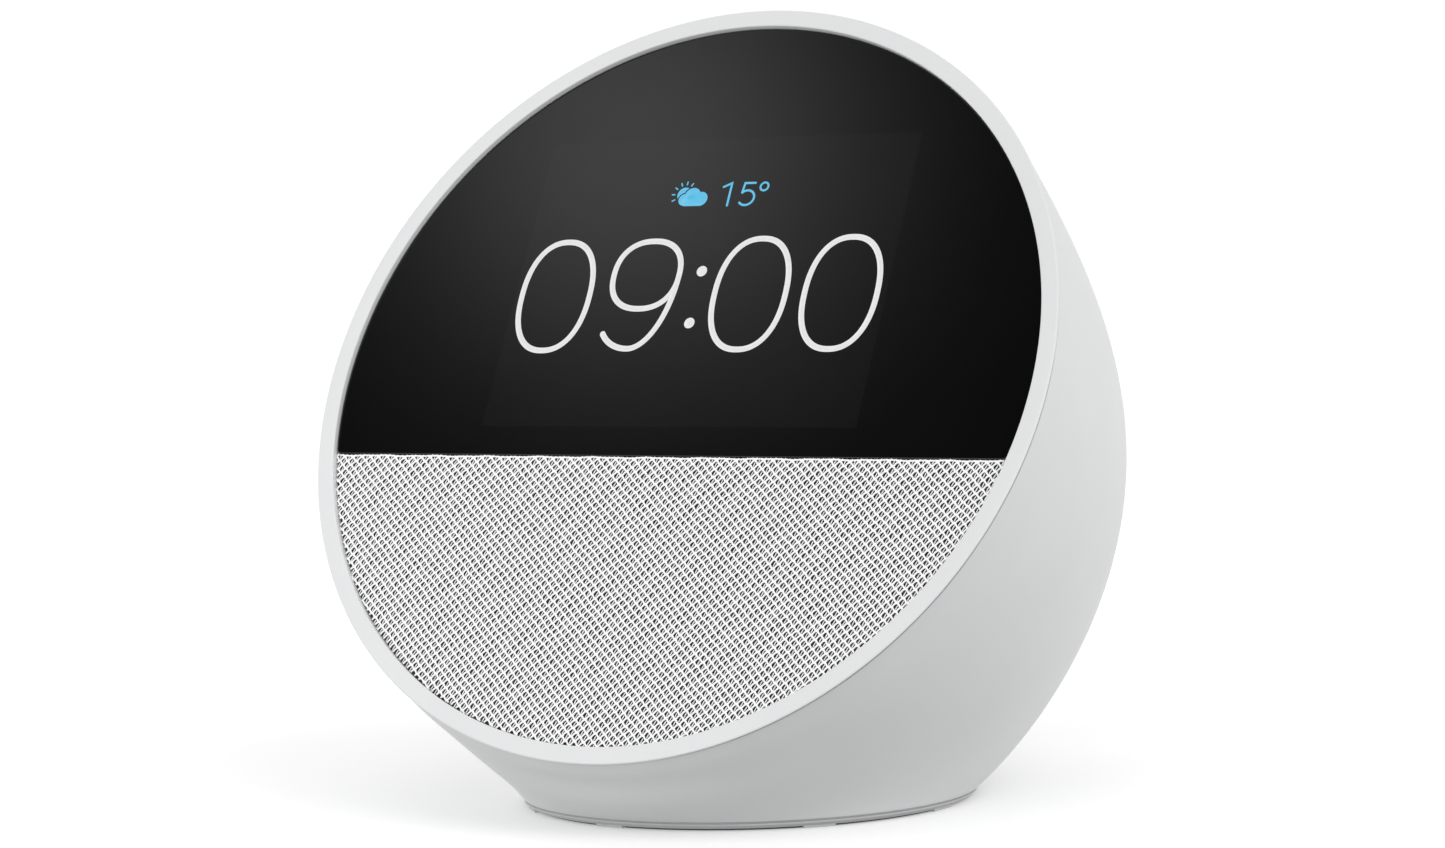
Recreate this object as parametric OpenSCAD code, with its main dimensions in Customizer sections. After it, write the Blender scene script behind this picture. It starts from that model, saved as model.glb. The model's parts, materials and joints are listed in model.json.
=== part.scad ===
// Ball-shaped smart display with a round leaning face.
// The origin is the centre of the foot on the table, -Y is the front, +X the right-hand side
// seen from the front, +Z up. Millimetres.

/* [Face] */
// Outer radius of the round face
rim_r = 56.5; // [56:0.1:57]
// Lean of the face back from the vertical, degrees
tilt = 28.7; // [28:0.1:29.5]
// Lowest point of the face, in front of the foot centre
face_low_y = 44.6; // [44:0.1:45.5]
// Height of the face's lowest point
face_low_z = 10.6; // [10.2:0.1:11]
// Visible radius of the glass and the cloth
glass_r = 54; // [53.8:0.1:54.2]
// Straight edge between glass and cloth, below the face centre
chord_drop = 11.9; // [11.8:0.1:12.3]
// Depth of the glass and the cloth behind the rim
recess = 0.7; // [0.6:0.05:0.8]
// Depth of the side wall of the rim
rim_side = 1.1; // [0.9:0.1:1.2]

/* [Body] */
// Radius of the shell where it meets the rim
mouth_r = 56.3; // [56:0.1:56.5]
// Radius of the shell where it meets the foot
foot_r = 31.8; // [31.4:0.1:32.2]
// Height of the lower edge of the shell
foot_z = 1.2; // [1.1:0.05:1.3]
// Wall thickness at the foot
wall_foot = 2.2; // [2:0.1:2.4]
// Wall thickness at the face
wall_mouth = 1.2; // [1:0.1:1.3]

/* [Keys] */
// Radius of the round keys on the top
key_r = 4.6; // [4.4:0.1:4.7]
// Distance between neighbouring keys
key_pitch = 13.5; // [13.2:0.1:13.8]
// Height of the key tops above the shell
key_proud = 0.5; // [0.3:0.1:0.6]

/* [Speaker] */
// Speaker centre, below the face centre
speaker_drop = 31.2; // [31:0.1:31.4]
// Outer radius of the speaker frame
speaker_r = 16.2; // [16.1:0.05:16.3]

/* [Inlet] */
// Height of the power inlet
inlet_z = 14; // [13.8:0.1:14.2]
// Radius of the recess for the plug
inlet_r = 5.2; // [5:0.1:5.3]

/* [Hidden] */
$fn = 96;
tiny = 0.01;
seam = 0.25;
slip = 0.2;

// ---- where the face is -------------------------------------------------------------------
face_y = rim_r * sin(tilt) - face_low_y;
face_z = rim_r * cos(tilt) + face_low_z;
mouth_depth = rim_side + seam;

// A point in the middle plane, given its height on the face and its depth behind it
function face_point(v, depth) = [face_y + v * sin(tilt) + depth * cos(tilt),
                                 face_z + v * cos(tilt) - depth * sin(tilt)];

// Children drawn on the XY plane lie in the face; +Y is up the face, +Z out of it
module on_face() {
    translate([0, face_y, face_z]) rotate([90 - tilt, 0, 0]) children();
}

// A flat piece of the face between two depths behind the rim's front
module layer(from, to) {
    translate([0, 0, -to]) linear_extrude(to - from) children();
}

// An outline in (height, outwards) coordinates of the face, extruded across from x0 to x1
module across(x0, x1) {
    translate([x0, 0, 0]) rotate([90, 0, 90]) linear_extrude(x1 - x0) children();
}

// ---- shell surface -------------------------------------------------------------------------
// The shell's sections hinge about the line where the plane of its mouth meets the table.
mouth_low = face_point(-mouth_r, mouth_depth);
hinge_y = mouth_low[0] - mouth_low[1] * tan(tilt);
mouth_near = mouth_low[1] / cos(tilt);
rear_curve = [foot_r - hinge_y, 128, 122.5, 119, mouth_near + 2 * mouth_r];
front_curve = [-foot_r - hinge_y, 8.7, 13, 9.5, mouth_near];
side_curve = [foot_r, 39.5, 51, 55, 55.5, mouth_r];
shell_around = 48;
shell_along = 20;

function bezier(p, t) =
    len(p) == 1 ? p[0]
    : bezier([for (i = [0 : len(p) - 2]) p[i] * (1 - t) + p[i + 1] * t], t);

// Point of the shell: t runs from the foot to the mouth, turn from the front round to the rear
function shell_point(t, turn, inset) =
    let (rear = bezier(rear_curve, t) - inset,
         front = bezier(front_curve, t) + inset,
         side = bezier(side_curve, t) - inset,
         reach = (rear + front) / 2 - (rear - front) / 2 * cos(turn),
         lift = (90 - tilt) * t)
    [side * sin(turn), hinge_y + reach * cos(lift), foot_z * (1 - t) + reach * sin(lift)];

function shell_ring(t, inset) =
    [for (i = [0 : shell_around - 1]) shell_point(t, 360 * i / shell_around, inset)];

function wall_at(t) = wall_foot * (1 - t) + wall_mouth * t;

module shell_wall() {
    rings = [
        for (j = [0 : shell_along]) shell_ring(j / shell_along, 0),
        for (j = [shell_along : -1 : 0]) shell_ring(j / shell_along, wall_at(j / shell_along))
    ];
    count = len(rings);
    polyhedron(
        points = [for (ring = rings) each ring],
        faces = [
            for (j = [0 : count - 1], i = [0 : shell_around - 1])
                let (k = (i + 1) % shell_around,
                     a = j * shell_around,
                     b = ((j + 1) % count) * shell_around)
                each [[a + i, b + k, a + k], [a + i, b + i, b + k]]
        ]);
}

// ---- keys: frame of reference on the upper rear of the shell ------------------------------
key_place = 0.82;
key_at = shell_point(key_place, 180, 0);
key_step = shell_point(key_place + tiny, 180, 0) - shell_point(key_place - tiny, 180, 0);
key_rise = atan2(-key_step[1], key_step[2]);
shell_radius_across = 55;
key_hole_r = key_r + 0.3;
key_shoulder = 7.6;
key_flange = 1;
key_flange_r = key_r + 0.7;
key_stem_r = 1.5;
key_stem_end = 9.4;
plunger_r = 1;
plunger_end = 10.6;
switch_top = 10;
switch_bore = 1.6;
switch_body = 6;
key_board_top = 13.2;
key_board_t = 1.2;
guide_top = 6.1;
guide_t = 1.1;
guide_size = [39, 12.6];
guide_post = [6.75, 4.8];

// Children drawn round the origin sit at the middle key; +Z is out of the shell
module on_keys() {
    translate(key_at) rotate([key_rise - 90, 0, 0]) children();
}

// A round rod of the key stack between two depths under the shell's surface
module key_rod(r, from, to) {
    translate([0, 0, -to]) cylinder(r = r, h = to - from);
}

// ---- power inlet ---------------------------------------------------------------------------
inlet_face_y = 36;
inlet_surround_r = inlet_r + 1.2;
inlet_lean = 44;
inlet_rear_y = 49;
jack_size = [9, 14, 11];
jack_bore_r = 3.1;
jack_bore_depth = 9;
contact_r = 1;

// ---- shared inner sizes --------------------------------------------------------------------
glass_t = 1.1;
cloth_t = 0.6;
plate_t = 1.2;
chord_gap = 0.4;
ledge_depth = recess + glass_t + 0.05;
rim_back = 5;
rim_skirt_r = [53.4, 54.9];
ledge_r = 52.4;
carrier_r = 52.2;
carrier_front = 2.7;
carrier_back = 4.7;
flange_back = 6.2;
flange_r = [49.6, 53.2];
panel_w = 61;
panel_low = -9.5;
panel_high = 37.6;
panel_layer = [2, 4];
tray_layer = [3, 5.6];
window_w = 63.2;
window_low = -11.7;
window_high = 38.9;
carrier_screw_v = 45.2;
sensor_v = 43.5;
mic_hole_x = 23;
board_w = 43;
board_low = -8;
board_high = 38;
board_front = 12;
board_t = 1.2;
board_back = board_front + board_t;
shield_back = board_back + 2.6;
board_hole_x = 19;
board_hole_v = [-5, 35];
enclosure_w = 54;
enclosure_wall = 1.8;
enclosure_r = 49.4;
enclosure_flange_x = 34.5;
enclosure_screw_x = 31;
enclosure_screw_v = [-18, -34];
speaker_screw_r = 14.9;
gasket_t = 0.6;
basket_front = carrier_back + gasket_t;
basket_t = 1.2;
cone_r = 11.4;
coil_r = 3.65;
coil_wall = 0.35;
motor_front = 15;
magnet_t = 4;
lead_slot_v = -14.2;
base_r = 31.6;
base_low = 0.3;
base_seam_z = 1;
plug_r = 29.5;
plug_top = 3.2;
ballast_r = 22;
ballast_t = 3;
frame_x = 24;
frame_t = 1.6;
leg_y = [6, 16];
frame_boss_y = 11;
front_boss = [14, 22];
boss_r = 2.6;
screw_r = 0.9;
pilot_r = 1;
head_r = 1.8;
head_t = 1.2;
rail_z = [6.3, 7.6];
foot_ring_r = [22.5, 30.2];
band_lean = 0.6;
band_lip = 0.25;
pad_reach = 31.05;
pad_w = 4.4;
pad_turns = [-8, 47, 87, 134, 180, 226, 273, 313];

white = "whitesmoke";
dark = [0.12, 0.12, 0.13];
board_green = [0.1, 0.35, 0.2];
steel = [0.75, 0.76, 0.78];

// ---- outlines ------------------------------------------------------------------------------
module disc_above(r, v) {
    intersection() {
        circle(r);
        translate([-r, v]) square([2 * r, r - v]);
    }
}

module disc_below(r, v) {
    intersection() {
        circle(r);
        translate([-r, -r]) square([2 * r, r + v]);
    }
}

module panel_outline(w, low, high) {
    translate([-w / 2, low]) square([w, high - low]);
}

// Places its children at the four board screws
module at_board_holes() {
    for (x = [-1, 1], v = board_hole_v) translate([x * board_hole_x, v]) children();
}

// Places its children at the two screws that hold the carrier to the frame
module at_carrier_screws() {
    for (side = [-1, 1]) translate([side * frame_x, carrier_screw_v]) children();
}

module at_speaker() {
    translate([0, -speaker_drop]) children();
}

module at_speaker_screws() {
    at_speaker() for (a = [0 : 90 : 270]) rotate(a) translate([speaker_screw_r, 0]) children();
}

module at_enclosure_screws() {
    for (x = [-1, 1], v = enclosure_screw_v) translate([x * enclosure_screw_x, v]) children();
}

// Places its children at the four screws through the base
module at_base_screws() {
    for (side = [-1, 1]) {
        translate([side * frame_x, frame_boss_y]) children();
        translate([side * front_boss[0], -front_boss[1]]) children();
    }
}

// A speaker part turned about the speaker's axis from (radius, outwards) points
module turned(points) {
    on_face() translate([0, -speaker_drop, 0]) rotate_extrude() polygon(points);
}

// ---- housing -------------------------------------------------------------------------------
module body_shell() {
    mic_hole_r = 0.7;
    color(white) difference() {
        shell_wall();
        on_keys() {
            for (x = [-key_pitch, 0, key_pitch]) translate([x, 0, 0]) key_rod(key_hole_r, -3, 8);
            for (x = [-mic_hole_x, mic_hole_x]) translate([x, 0, 0]) key_rod(mic_hole_r, 0, 12);
        }
        translate([0, inlet_face_y + 2, inlet_z]) rotate([-90, 0, 0])
            cylinder(r = inlet_surround_r + slip, h = 20);
    }
}

module rim_bezel() {
    edge = 0.4;
    color(white) on_face() rotate_extrude() polygon([
        [glass_r, 0], [rim_r - edge, 0], [rim_r, -edge], [rim_r, -rim_side],
        [rim_skirt_r[1], -rim_side], [rim_skirt_r[0], -rim_back], [ledge_r, -rim_back],
        [ledge_r, -ledge_depth], [glass_r, -ledge_depth]
    ]);
}

module cover_glass() {
    color(dark) on_face() layer(recess, recess + glass_t) disc_above(glass_r - 0.1, -chord_drop);
}

module display_panel() {
    color("black") on_face() layer(panel_layer[0], panel_layer[1])
        panel_outline(panel_w, panel_low, panel_high);
}

module display_gasket() {
    border = 1;
    color("dimgray") on_face() layer(panel_layer[0] - 0.18, panel_layer[0]) difference() {
        panel_outline(panel_w, panel_low, panel_high);
        panel_outline(panel_w - 2 * border, panel_low + 2 * border, panel_high - border);
    }
}

module backlight_tray() {
    lip = 0.5;
    play = 0.1;
    flex_gap = [16, panel_low - 2, panel_low + 1];
    color(steel) on_face() difference() {
        layer(tray_layer[0], tray_layer[1])
            panel_outline(panel_w + 2 * (lip + play), panel_low - lip - play,
                          panel_high + lip + play);
        layer(tray_layer[0] - 1, panel_layer[1]) {
            panel_outline(panel_w + 2 * play, panel_low - play, panel_high + play);
            panel_outline(flex_gap[0], flex_gap[1], flex_gap[2]);
        }
    }
}

module face_carrier() {
    sensor_size = 5;
    color("gainsboro") on_face() difference() {
        union() {
            layer(carrier_front, carrier_back) circle(carrier_r);
            layer(rim_back, flange_back) difference() {
                circle(flange_r[1]);
                circle(flange_r[0]);
            }
            layer(carrier_back - tiny, rim_back + tiny) difference() {
                circle(carrier_r);
                circle(flange_r[0]);
            }
        }
        layer(1, 9) panel_outline(window_w, window_low, window_high);
        layer(1, 9) translate([0, sensor_v]) square(sensor_size, center = true);
        layer(1, 9) at_speaker() circle(speaker_r - 3.2);
        layer(1, 9) at_speaker_screws() circle(pilot_r);
        layer(1, 9) at_enclosure_screws() circle(pilot_r);
        layer(1, 9) at_carrier_screws() circle(pilot_r);
    }
}

module speaker_cloth() {
    color("lightgray") on_face()
        layer(recess, recess + cloth_t) disc_below(glass_r - 0.1, -chord_drop - chord_gap);
}

module grille_plate() {
    hole_r = 1.2;
    pitch = 3.6;
    rows = 4;
    front = recess + cloth_t + 0.05;
    color("dimgray") on_face() layer(front, front + plate_t) difference() {
        disc_below(glass_r - 2, -chord_drop - chord_gap);
        at_speaker() for (row = [-rows : rows], k = [-rows : rows])
            if (abs(k + row / 2) <= rows + 0.1 - abs(row) / 4)
                translate([(k + row / 2) * pitch, row * pitch * sin(60)]) circle(hole_r, $fn = 24);
    }
}

// ---- speaker -------------------------------------------------------------------------------
module speaker_gasket() {
    color("dimgray") turned([[13.1, -carrier_back], [13.8, -carrier_back],
                             [13.8, -basket_front], [13.1, -basket_front]]);
}

module speaker_basket() {
    color("silver") difference() {
        turned([[12.2, -basket_front - 0.3], [12.2, -basket_front], [speaker_r, -basket_front],
                [speaker_r, -basket_front - basket_t], [13.4, -basket_front - basket_t],
                [9.5, -motor_front], [9.5, -motor_front - 1], [4.3, -motor_front - 1],
                [4.3, -motor_front], [8.7, -motor_front], [12.6, -basket_front - basket_t]]);
        on_face() layer(1, 9) at_speaker_screws() circle(pilot_r);
    }
}

module speaker_surround() {
    color("dimgray") turned([[11.7, -6.2], [11.9, -5.7], [12.2, -5.55], [12.2, -5.75], [12.0, -5.9],
                             [11.9, -6.3], [11.7, -6.4]]);
}

module speaker_spider() {
    depth = 13.2;
    color("goldenrod") turned([
        for (k = [0 : 8]) [4.4 + k * 0.6, -depth + (k % 2) * 0.4],
        for (k = [8 : -1 : 0]) [4.4 + k * 0.6, -depth - 0.25 + (k % 2) * 0.4]
    ]);
}

module speaker_magnet() {
    front = motor_front + 1;
    color("dimgray") turned([[5.4, -front], [9.6, -front], [9.6, -front - magnet_t],
                             [5.4, -front - magnet_t]]);
}

module speaker_yoke() {
    front = motor_front + 1 + magnet_t;
    pole_r = 3.3;
    color("silver") turned([[0, -motor_front + 0.5], [pole_r, -motor_front + 0.5],
                            [pole_r, -front], [9.9, -front], [9.9, -front - 2], [0, -front - 2]]);
}

module speaker_terminals() {
    color("tan") on_face() translate([0, -speaker_drop, 0])
        for (x = [-10.3, -8.3]) translate([x, 11.9, -basket_front - basket_t - 2])
            cube([1.6, 1.6, 2]);
}

module speaker_cone() {
    t = 0.35;
    color([0.2, 0.2, 0.22]) turned([[coil_r + coil_wall, -12], [cone_r, -6.2], [cone_r, -6.2 - t],
                                    [coil_r + coil_wall, -12 - t * 1.5]]);
}

module dust_cap() {
    rise = 1.6;
    edge_r = 4.6;
    color("black") turned([
        for (k = [0 : 6]) [edge_r * k / 6, -11.15 + rise * (1 - k * k / 36)],
        for (k = [6 : -1 : 0]) [edge_r * k / 6, -11.45 + rise * (1 - k * k / 36)]
    ]);
}

module voice_coil() {
    color("peru") turned([[coil_r, -12], [coil_r + coil_wall, -12],
                          [coil_r + coil_wall, -18.6], [coil_r, -18.6]]);
}

module speaker_screws() {
    back = basket_front + basket_t;
    color(steel) on_face() at_speaker_screws() {
        layer(carrier_front + 0.3, back) circle(screw_r, $fn = 24);
        layer(back, back + 1) circle(1.2, $fn = 24);
    }
}

// Outlines of the box behind the driver, in (height, outwards) coordinates of the face
enclosure_outer = [[-52, -4.7], [-52, -16], [-40, -28], [-28, -31.5], [-12, -31.5], [-12, -4.7]];
enclosure_inner = [[-50, -4], [-50, -15.2], [-39, -26.2], [-27.4, -29.7], [-13.8, -29.7],
                   [-13.8, -4]];

module speaker_enclosure() {
    half = enclosure_w / 2;
    flange_t = 1.5;
    boss_h = 9.6;
    color("slategray") difference() {
        union() {
            on_face() intersection() {
                across(-half, half) polygon(enclosure_outer);
                layer(carrier_back, 40) circle(enclosure_r);
            }
            on_face() intersection() {
                layer(carrier_back, carrier_back + flange_t) circle(enclosure_r);
                across(-enclosure_flange_x, enclosure_flange_x)
                    translate([-52, -8]) square([40, 8]);
            }
            for (side = [-1, 1]) translate([side * front_boss[0], -front_boss[1], plug_top])
                cylinder(r = boss_r, h = boss_h);
        }
        on_face() intersection() {
            across(-half + enclosure_wall, half - enclosure_wall) polygon(enclosure_inner);
            layer(carrier_back - 1, 40) circle(enclosure_r - enclosure_wall);
        }
        on_face() layer(1, 9) at_enclosure_screws() circle(pilot_r);
        on_face() across(-11.7, -7.5) translate([lead_slot_v, -20.9]) square([3, 1]);
        for (side = [-1, 1]) translate([side * front_boss[0], -front_boss[1], 0])
            cylinder(r = pilot_r, h = 9.4);
    }
}

module enclosure_screws() {
    back = carrier_back + 1.5;
    color(steel) on_face() at_enclosure_screws() {
        layer(carrier_front + 0.3, back) circle(screw_r, $fn = 24);
        layer(back, back + head_t) circle(head_r, $fn = 24);
    }
}

module speaker_lead() {
    start = -basket_front - basket_t - 2;
    color("firebrick") on_face() across(-11.2, -8) polygon([
        [-18.9, start], [-18.5, start], [-18.5, -20.2], [-10.6, -20.2], [-10.6, -14], [-4, -14],
        [-4, -14.4], [-10.2, -14.4], [-10.2, -20.6], [-18.9, -20.6]
    ]);
}

// ---- electronics ---------------------------------------------------------------------------
module main_board() {
    color(board_green) on_face() layer(board_front, board_back) difference() {
        panel_outline(board_w, board_low, board_high);
        at_board_holes() circle(pilot_r);
    }
}

module board_standoffs() {
    color("goldenrod") on_face() layer(tray_layer[1], board_front) at_board_holes() difference() {
        circle(2.2);
        circle(pilot_r);
    }
}

module board_screws() {
    color(steel) on_face() at_board_holes() {
        layer(7, board_back) circle(screw_r, $fn = 24);
        layer(board_back, board_back + head_t) circle(head_r, $fn = 24);
    }
}

module shield_cans() {
    t = 0.3;
    // Left edge, lower edge, width and height of each can
    cans = [[-14, 6, 16, 20], [4, 12, 11, 15]];
    color(steel) on_face() for (spot = cans) difference() {
        layer(board_back, shield_back) translate([spot[0], spot[1]]) square([spot[2], spot[3]]);
        layer(board_back - 1, shield_back - t)
            translate([spot[0] + t, spot[1] + t]) square([spot[2] - 2 * t, spot[3] - 2 * t]);
    }
}

module heat_spreader() {
    fin_t = 0.9;
    fin_pitch = 3;
    fin_back = shield_back + 5.5;
    plate_back = shield_back + 1.5;
    color("silver") on_face() {
        layer(shield_back, plate_back) translate([-16, 3]) square([33, 29]);
        layer(plate_back, fin_back)
            for (x = [-15 : fin_pitch : 15]) translate([x, 4]) square([fin_t, 27]);
    }
}

module board_connectors() {
    color("ivory") on_face() {
        layer(board_back, board_back + 0.5) translate([-7.5, -6]) square([15, 3]);
        layer(board_back, board_back + 0.8) translate([-12, -4.6]) square([4.2, 3]);
        layer(board_back, board_back + 1.4) translate([9.5, -7.6]) square([5, 3]);
    }
}

module display_flex() {
    back = board_back + 0.5;
    color("darkorange") on_face() across(-6.5, 6.5) polygon([
        [-9.5, -2.8], [-11.3, -2.8], [-11.3, -back - 0.25], [-3.2, -back - 0.25],
        [-3.2, -back], [-11.05, -back], [-11.05, -3.05], [-9.5, -3.05]
    ]);
}

module power_lead() {
    start = face_point(-6, board_back + 1.85);
    t = 0.8;
    color("black") translate([10, 0, 0]) rotate([90, 0, 90]) linear_extrude(3) polygon([
        [15, 8.8], [15, 38], start, start + [0, t], [15 + t, 38 + t], [15 + t, 8.8]
    ]);
}

module mic_board() {
    color(board_green) on_face() layer(carrier_back, carrier_back + 1)
        panel_outline(32, 40.5, 46.5);
}

module microphones() {
    color("gold") on_face() layer(carrier_back + 1, carrier_back + 2)
        for (x = [-12, 12]) translate([x - 2, 42]) square([4, 3]);
}

module light_sensor() {
    color("black") on_face() layer(3, carrier_back) translate([0, sensor_v])
        square(4, center = true);
}

module antenna_boards() {
    color(board_green) on_face() layer(carrier_back, carrier_back + 0.8)
        for (side = [-1, 1]) translate([side * 39.5 - 3.5, -8]) square([7, 24]);
}

// ---- inner frame ---------------------------------------------------------------------------
module frame_side() {
    centre = [3, 56];
    outer = 37.2;
    inner = 32.5;
    clip = face_point(0, flange_back);
    color("darkgray") rotate([90, 0, 90]) linear_extrude(frame_t, center = true) union() {
        intersection() {
            translate(centre) difference() {
                circle(outer);
                circle(inner);
            }
            union() {
                translate(clip) rotate(90 - tilt) translate([0, -60]) square([60, 60]);
                translate([leg_y[0], 0]) square([60, 60]);
            }
        }
        translate([leg_y[0], plug_top]) square([leg_y[1] - leg_y[0], 18]);
    }
}

module core_frame() {
    color("darkgray") difference() {
        union() {
            for (side = [-1, 1]) translate([side * frame_x, 0, 0]) frame_side();
            on_face() for (side = [-1, 1]) translate([side * frame_x - 2.2, 39, -flange_back - 2])
                cube([4.4, 7.6, 2]);
            for (side = [-1, 1]) translate([side * frame_x, frame_boss_y, plug_top])
                cylinder(r = boss_r, h = 9);
            translate([-frame_x, 37, 54]) cube([2 * frame_x, 3, 5]);
            for (side = [-1, 1]) translate([side * 17.4 - 7, 12, rail_z[0]])
                cube([14, 4, rail_z[1] - rail_z[0]]);
            on_keys() translate([-frame_x, -6, -key_board_top - key_board_t - 1.6])
                cube([2 * frame_x, 12, 1.6]);
        }
        for (side = [-1, 1]) translate([side * frame_x, frame_boss_y, 0])
            cylinder(r = pilot_r, h = 11);
        on_face() layer(1, 9) at_carrier_screws() circle(pilot_r);
    }
}

module frame_screws() {
    back = flange_back + 2;
    color(steel) on_face() at_carrier_screws() {
        layer(3.2, back) circle(screw_r, $fn = 24);
        layer(back, back + head_t) circle(head_r, $fn = 24);
    }
}

// ---- keys ----------------------------------------------------------------------------------
module key_board() {
    color(board_green) on_keys()
        translate([-guide_size[0] / 2, -guide_size[1] / 2, -key_board_top - key_board_t])
            cube([guide_size[0], guide_size[1], key_board_t]);
}

module key_guide() {
    color("gray") on_keys() difference() {
        union() {
            translate([-guide_size[0] / 2, -guide_size[1] / 2, -guide_top - guide_t])
                cube([guide_size[0], guide_size[1], guide_t]);
            for (x = [-guide_post[0], guide_post[0]], y = [-guide_post[1], guide_post[1]])
                translate([x, y, 0]) key_rod(1.1, guide_top, key_board_top);
        }
        for (x = [-key_pitch, 0, key_pitch]) translate([x, 0, 0]) key_rod(key_hole_r, 0, 9);
    }
}

module key_switches() {
    color(dark) on_keys() for (x = [-key_pitch, 0, key_pitch]) translate([x, 0, 0]) difference() {
        translate([-switch_body / 2, -switch_body / 2, -key_board_top])
            cube([switch_body, switch_body, key_board_top - switch_top]);
        key_rod(plunger_r + 0.05, switch_top - 1, switch_top + switch_bore);
    }
}

// One key: a domed cap that follows the shell, a shoulder that keeps it in, and a stem
module key_cap(x) {
    color(white) on_keys() translate([x, 0, 0]) union() {
        intersection() {
            key_rod(key_r, -2, key_shoulder);
            translate([-x, 0, -shell_radius_across]) sphere(shell_radius_across + key_proud);
        }
        key_rod(key_flange_r, key_shoulder, key_shoulder + key_flange);
        key_rod(key_stem_r, key_shoulder, key_stem_end);
    }
}

module key_plunger(x) {
    color("ivory") on_keys() translate([x, 0, 0])
        key_rod(plunger_r, key_stem_end, plunger_end);
}

module volume_down_key() { key_cap(-key_pitch); }
module mic_key() { key_cap(0); }
module volume_up_key() { key_cap(key_pitch); }
module volume_down_plunger() { key_plunger(-key_pitch); }
module mic_plunger() { key_plunger(0); }
module volume_up_plunger() { key_plunger(key_pitch); }

// ---- power inlet ---------------------------------------------------------------------------
module power_inlet() {
    color(dark) difference() {
        translate([-jack_size[0] / 2, inlet_face_y - jack_size[1], inlet_z - jack_size[2] / 2 + 0.1])
            cube([jack_size[0], jack_size[1], jack_size[2] - 0.1]);
        translate([0, inlet_face_y - jack_bore_depth, inlet_z]) rotate([-90, 0, 0])
            cylinder(r = jack_bore_r, h = jack_bore_depth + 1);
    }
}

module inlet_contact() {
    color(steel) translate([0, inlet_face_y - jack_bore_depth, inlet_z]) rotate([-90, 0, 0])
        cylinder(r = contact_r, h = jack_bore_depth - 1);
}

module inlet_surround() {
    color(dark) difference() {
        translate([0, inlet_face_y, inlet_z]) rotate([-90, 0, 0]) difference() {
            cylinder(r = inlet_surround_r, h = 25);
            translate([0, 0, -1]) cylinder(r = inlet_r, h = 30);
        }
        translate([0, inlet_rear_y, inlet_z]) rotate([-inlet_lean, 0, 0])
            translate([-20, 0, -20]) cube([40, 40, 40]);
    }
}

module inlet_board() {
    color(board_green) translate([-12, 14, rail_z[1]]) cube([24, 22, 1.0]);
}

module inlet_capacitors() {
    color("navy") for (side = [-1, 1]) translate([side * 8, 18.5, rail_z[1] + 1])
        cylinder(r = 2.5, h = 8);
}

// ---- base ----------------------------------------------------------------------------------
module base_cover() {
    head_pocket = 2.0;
    play = 0.1;
    color(white) difference() {
        union() {
            rotate_extrude() polygon([
                [0, base_low], [base_r - band_lean, base_low], [base_r, base_seam_z - band_lip],
                [base_r, base_seam_z], [plug_r, base_seam_z], [plug_r, plug_top], [0, plug_top]
            ]);
            for (turn = pad_turns) rotate(turn - 90)
                translate([foot_ring_r[1] + play, -pad_w / 2, 0])
                    cube([pad_reach - foot_ring_r[1] - play, pad_w, base_low + play]);
        }
        at_base_screws() {
            translate([0, 0, -1]) cylinder(r = pilot_r, h = 9);
            translate([0, 0, -1]) cylinder(r = head_r + 0.2, h = head_pocket + 1);
        }
    }
}

module foot_ring() {
    color(dark) linear_extrude(base_low) difference() {
        circle(foot_ring_r[1]);
        circle(foot_ring_r[0]);
    }
}

module ballast_plate() {
    color(steel) translate([0, 0, plug_top]) cylinder(r = ballast_r, h = ballast_t);
}

module base_screws() {
    seat = 2.0;
    color(steel) at_base_screws() {
        translate([0, 0, seat]) cylinder(r = screw_r, h = 7, $fn = 24);
        translate([0, 0, seat - head_t]) cylinder(r = head_r, h = head_t, $fn = 24);
    }
}

body_shell();
rim_bezel();
cover_glass();
display_panel();
backlight_tray();
display_gasket();
face_carrier();
speaker_cloth();
grille_plate();
speaker_gasket();
speaker_basket();
speaker_surround();
speaker_spider();
speaker_magnet();
speaker_yoke();
speaker_terminals();
speaker_cone();
dust_cap();
voice_coil();
speaker_enclosure();
speaker_lead();
speaker_screws();
enclosure_screws();
main_board();
board_standoffs();
board_screws();
shield_cans();
heat_spreader();
board_connectors();
display_flex();
power_lead();
mic_board();
microphones();
light_sensor();
antenna_boards();
core_frame();
frame_screws();
key_board();
key_guide();
key_switches();
volume_down_key();
mic_key();
volume_up_key();
volume_down_plunger();
mic_plunger();
volume_up_plunger();
power_inlet();
inlet_contact();
inlet_surround();
inlet_board();
inlet_capacitors();
base_cover();
foot_ring();
ballast_plate();
base_screws();
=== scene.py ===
# Looks of a ball-shaped smart display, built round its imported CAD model.
# Metres throughout; -Y is the front, +X the right-hand side seen from the front, +Z up.
import json
import math

import bpy
import numpy as np
from mathutils import Matrix, Vector


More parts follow.
